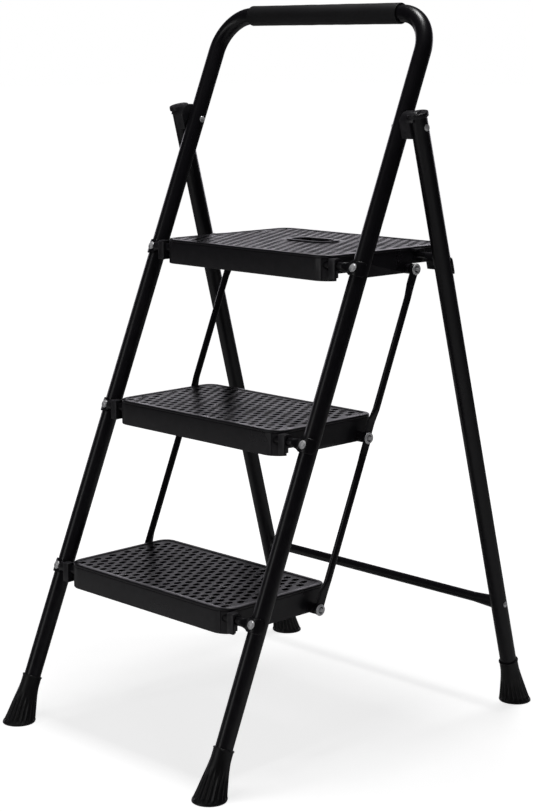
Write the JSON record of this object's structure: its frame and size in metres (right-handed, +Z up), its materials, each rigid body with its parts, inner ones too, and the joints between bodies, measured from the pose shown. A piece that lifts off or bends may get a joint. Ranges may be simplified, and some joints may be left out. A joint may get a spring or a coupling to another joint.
{
  "type": "folding step stool",
  "caption": "Folding step stool with deep ribbed treads on a tube frame, a hoop handrail with a foam grip, link rods and splayed rear legs.",
  "frame": {"origin": "floor level at the centre of the four feet's footprint", "axes": "+Z up, +Y the way the user faces when climbing, +X to the user's right"},
  "size_m": [0.5514, 0.6599, 1.0607],
  "materials": {
    "powder_coat": "satin black powder coat",
    "tread_plastic": "fine-grained moulded black",
    "clip_plastic": "moulded charcoal",
    "hinge_plastic": "moulded black",
    "foot_rubber": "moulded black rubber",
    "grip_foam": "soft black grip",
    "rivet_steel": "bright zinc plated"
  },
  "bodies": {
    "front_frame": {"front_foot_left": "foot_rubber", "front_foot_right": "foot_rubber", "front_frame_tube": "powder_coat", "handle_grip": "grip_foam", "hinge_rivet_left": "rivet_steel", "hinge_rivet_right": "rivet_steel", "step_tube_low": "powder_coat", "step_tube_middle": "powder_coat", "step_tube_rivet_low_left": "rivet_steel", "step_tube_rivet_low_right": "rivet_steel", "step_tube_rivet_middle_left": "rivet_steel", "step_tube_rivet_middle_right": "rivet_steel", "step_tube_rivet_top_left": "rivet_steel", "step_tube_rivet_top_right": "rivet_steel", "step_tube_top": "powder_coat"},
    "rear_frame": {"hinge_bracket_left": "hinge_plastic", "hinge_bracket_right": "hinge_plastic", "lower_bar_rivet_left": "rivet_steel", "lower_bar_rivet_right": "rivet_steel", "rear_foot_left": "foot_rubber", "rear_foot_right": "foot_rubber", "rear_leg_left": "powder_coat", "rear_leg_right": "powder_coat", "rear_lower_bar": "powder_coat", "rear_rest_left": "powder_coat", "rear_rest_right": "powder_coat", "rest_rivet_left": "rivet_steel", "rest_rivet_right": "rivet_steel"},
    "top_step": {"link_pin_top_left": "rivet_steel", "link_pin_top_right": "rivet_steel", "step_clip_top_left": "clip_plastic", "step_clip_top_right": "clip_plastic", "tread_top": "tread_plastic"},
    "middle_step": {"link_pin_middle_left": "rivet_steel", "link_pin_middle_right": "rivet_steel", "step_clip_middle_left": "clip_plastic", "step_clip_middle_right": "clip_plastic", "tread_middle": "tread_plastic"},
    "low_step": {"link_pin_low_left": "rivet_steel", "link_pin_low_right": "rivet_steel", "step_clip_low_left": "clip_plastic", "step_clip_low_right": "clip_plastic", "tread_low": "tread_plastic"},
    "upper_links": {"link_upper_left": "powder_coat", "link_upper_right": "powder_coat"},
    "lower_links": {"link_lower_left": "powder_coat", "link_lower_right": "powder_coat"}
  },
  "joints": [
    {"name": "rear_frame_fold", "type": "hinge", "parent": "front_frame", "child": "rear_frame", "pos_m": [0, 0.06497, 0.8889], "axis": [1, 0, 0], "range_deg": [-36, 0]},
    {"name": "top_step_fold", "type": "hinge", "parent": "front_frame", "child": "top_step", "pos_m": [0, -0.03101, 0.699], "axis": [1, 0, 0], "range_deg": [0, 67]},
    {"name": "middle_step_fold", "type": "hinge", "parent": "front_frame", "child": "middle_step", "pos_m": [0, -0.12901, 0.464], "axis": [1, 0, 0], "range_deg": [0, 67]},
    {"name": "low_step_fold", "type": "hinge", "parent": "front_frame", "child": "low_step", "pos_m": [0, -0.227, 0.229], "axis": [1, 0, 0], "range_deg": [0, 67]},
    {"name": "upper_link_swing", "type": "hinge", "parent": "top_step", "child": "upper_links", "pos_m": [0, 0.12399, 0.6828], "axis": [1, 0, 0], "range_deg": [-67, 0]},
    {"name": "lower_link_swing", "type": "hinge", "parent": "middle_step", "child": "lower_links", "pos_m": [0, 0.02599, 0.4478], "axis": [1, 0, 0], "range_deg": [-67, 0]}
  ],
  "couplings": [
    {"joint": "middle_step_fold", "follows": "top_step_fold", "ratio": 1},
    {"joint": "low_step_fold", "follows": "top_step_fold", "ratio": 1},
    {"joint": "upper_link_swing", "follows": "top_step_fold", "ratio": -1},
    {"joint": "lower_link_swing", "follows": "top_step_fold", "ratio": -1}
  ]
}
